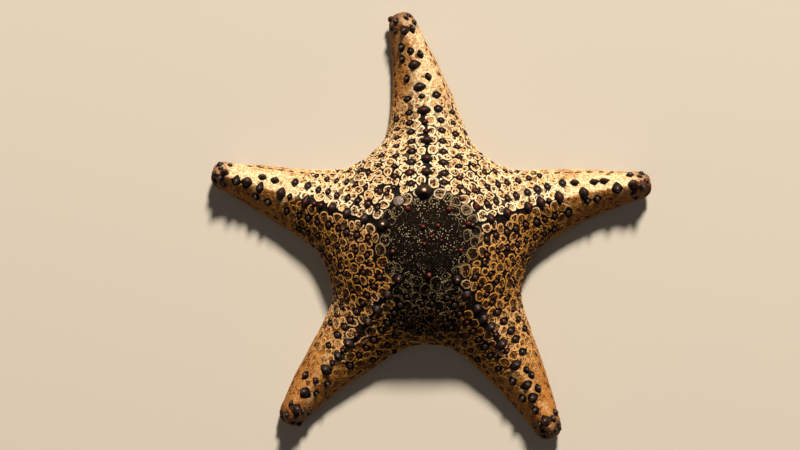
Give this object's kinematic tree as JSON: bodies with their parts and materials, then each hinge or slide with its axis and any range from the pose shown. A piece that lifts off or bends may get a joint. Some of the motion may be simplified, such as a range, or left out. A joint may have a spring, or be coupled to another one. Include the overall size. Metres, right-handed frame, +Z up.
{
  "type": "sea star",
  "caption": "Knobbly sea star lying on its underside with slightly bent arms, a still life-size display model.",
  "frame": {"origin": "centre of the star's box at floor level, under the disc and about 4 mm in front of its middle", "axes": "+Z up, away from the underside; +Y the way the first arm points; +X to the right of it seen from above"},
  "size_m": [0.11, 0.1067, 0.0204],
  "materials": {
    "disc_skin": "dark brown leathery skin, finely granular",
    "arm_skin": "tan skin with raised cream-rimmed pore patches",
    "tip_skin": "orange-tan skin, finely granular",
    "sieve_plate": "pale chalky plate with winding grooves",
    "mouth_skin": "soft pale skin round the mouth",
    "knobs": "smooth dark red-brown to black calcite knobs",
    "spines": "pale tan calcite spines and granules",
    "tube_feet": "soft wet translucent flesh"
  },
  "bodies": {
    "root": {"disc": "disc_skin", "madreporite": "sieve_plate", "mouth": "mouth_skin", "arm_1": "arm_skin", "arm_2": "arm_skin", "arm_3": "arm_skin", "arm_4": "arm_skin", "arm_5": "arm_skin", "arm_tip_1": "tip_skin", "arm_tip_2": "tip_skin", "arm_tip_3": "tip_skin", "arm_tip_4": "tip_skin", "arm_tip_5": "tip_skin"}
  },
  "joints": []
}
